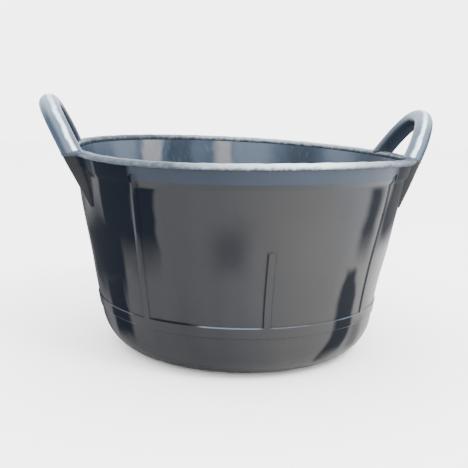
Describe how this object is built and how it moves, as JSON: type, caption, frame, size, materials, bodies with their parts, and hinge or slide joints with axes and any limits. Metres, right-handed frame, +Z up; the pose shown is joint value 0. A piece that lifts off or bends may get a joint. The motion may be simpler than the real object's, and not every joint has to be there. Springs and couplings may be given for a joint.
{
  "type": "flexible rubber tub",
  "caption": "Round flexible rubber tub with a beaded rim, raised ribs and base band, and outward-leaning loop handles that bend at their feet.",
  "frame": {"origin": "middle of the flat bottom, on the ground", "axes": "+Z up out of the mouth, +X from the left handle to the right handle, -Y towards the front"},
  "size_m": [0.5276, 0.4596, 0.3266],
  "materials": {
    "body_rubber": "semi-gloss moulded black rubber with a blue-grey sheen",
    "strip_rubber": "semi-gloss moulded black rubber, slightly more worn on the edges",
    "handle_rubber": "smooth glossy black rubber, polished by hands",
    "cord_textile": "twisted off-white textile cord"
  },
  "bodies": {
    "tub": {"bottom_disc": "body_rubber", "wall_blank_front": "body_rubber", "wall_blank_back": "body_rubber", "wall_blank_left": "body_rubber", "wall_blank_right": "body_rubber", "base_band": "strip_rubber", "rim_collar": "strip_rubber", "rim_bead": "strip_rubber", "short_rib_front": "strip_rubber", "short_rib_back": "strip_rubber", "long_rib_front_left": "strip_rubber", "long_rib_front_right": "strip_rubber", "long_rib_back_left": "strip_rubber", "long_rib_back_right": "strip_rubber", "handle_root_left_front": "strip_rubber", "handle_root_left_back": "strip_rubber", "handle_root_right_front": "strip_rubber", "handle_root_right_back": "strip_rubber"},
    "left_handle": {"left_handle_loop": "handle_rubber", "left_handle_cord": "cord_textile"},
    "right_handle": {"right_handle_loop": "handle_rubber", "right_handle_cord": "cord_textile"}
  },
  "joints": [
    {"name": "left_handle_flex", "type": "hinge", "parent": "tub", "child": "left_handle", "pos_m": [-0.22838, 0, 0.275], "axis": [0, 1, 0], "range_deg": [-15, 40], "stiffness_Nm_per_rad": 1.2},
    {"name": "right_handle_flex", "type": "hinge", "parent": "tub", "child": "right_handle", "pos_m": [0.22838, 0, 0.275], "axis": [0, -1, 0], "range_deg": [-15, 40], "stiffness_Nm_per_rad": 1.2}
  ]
}
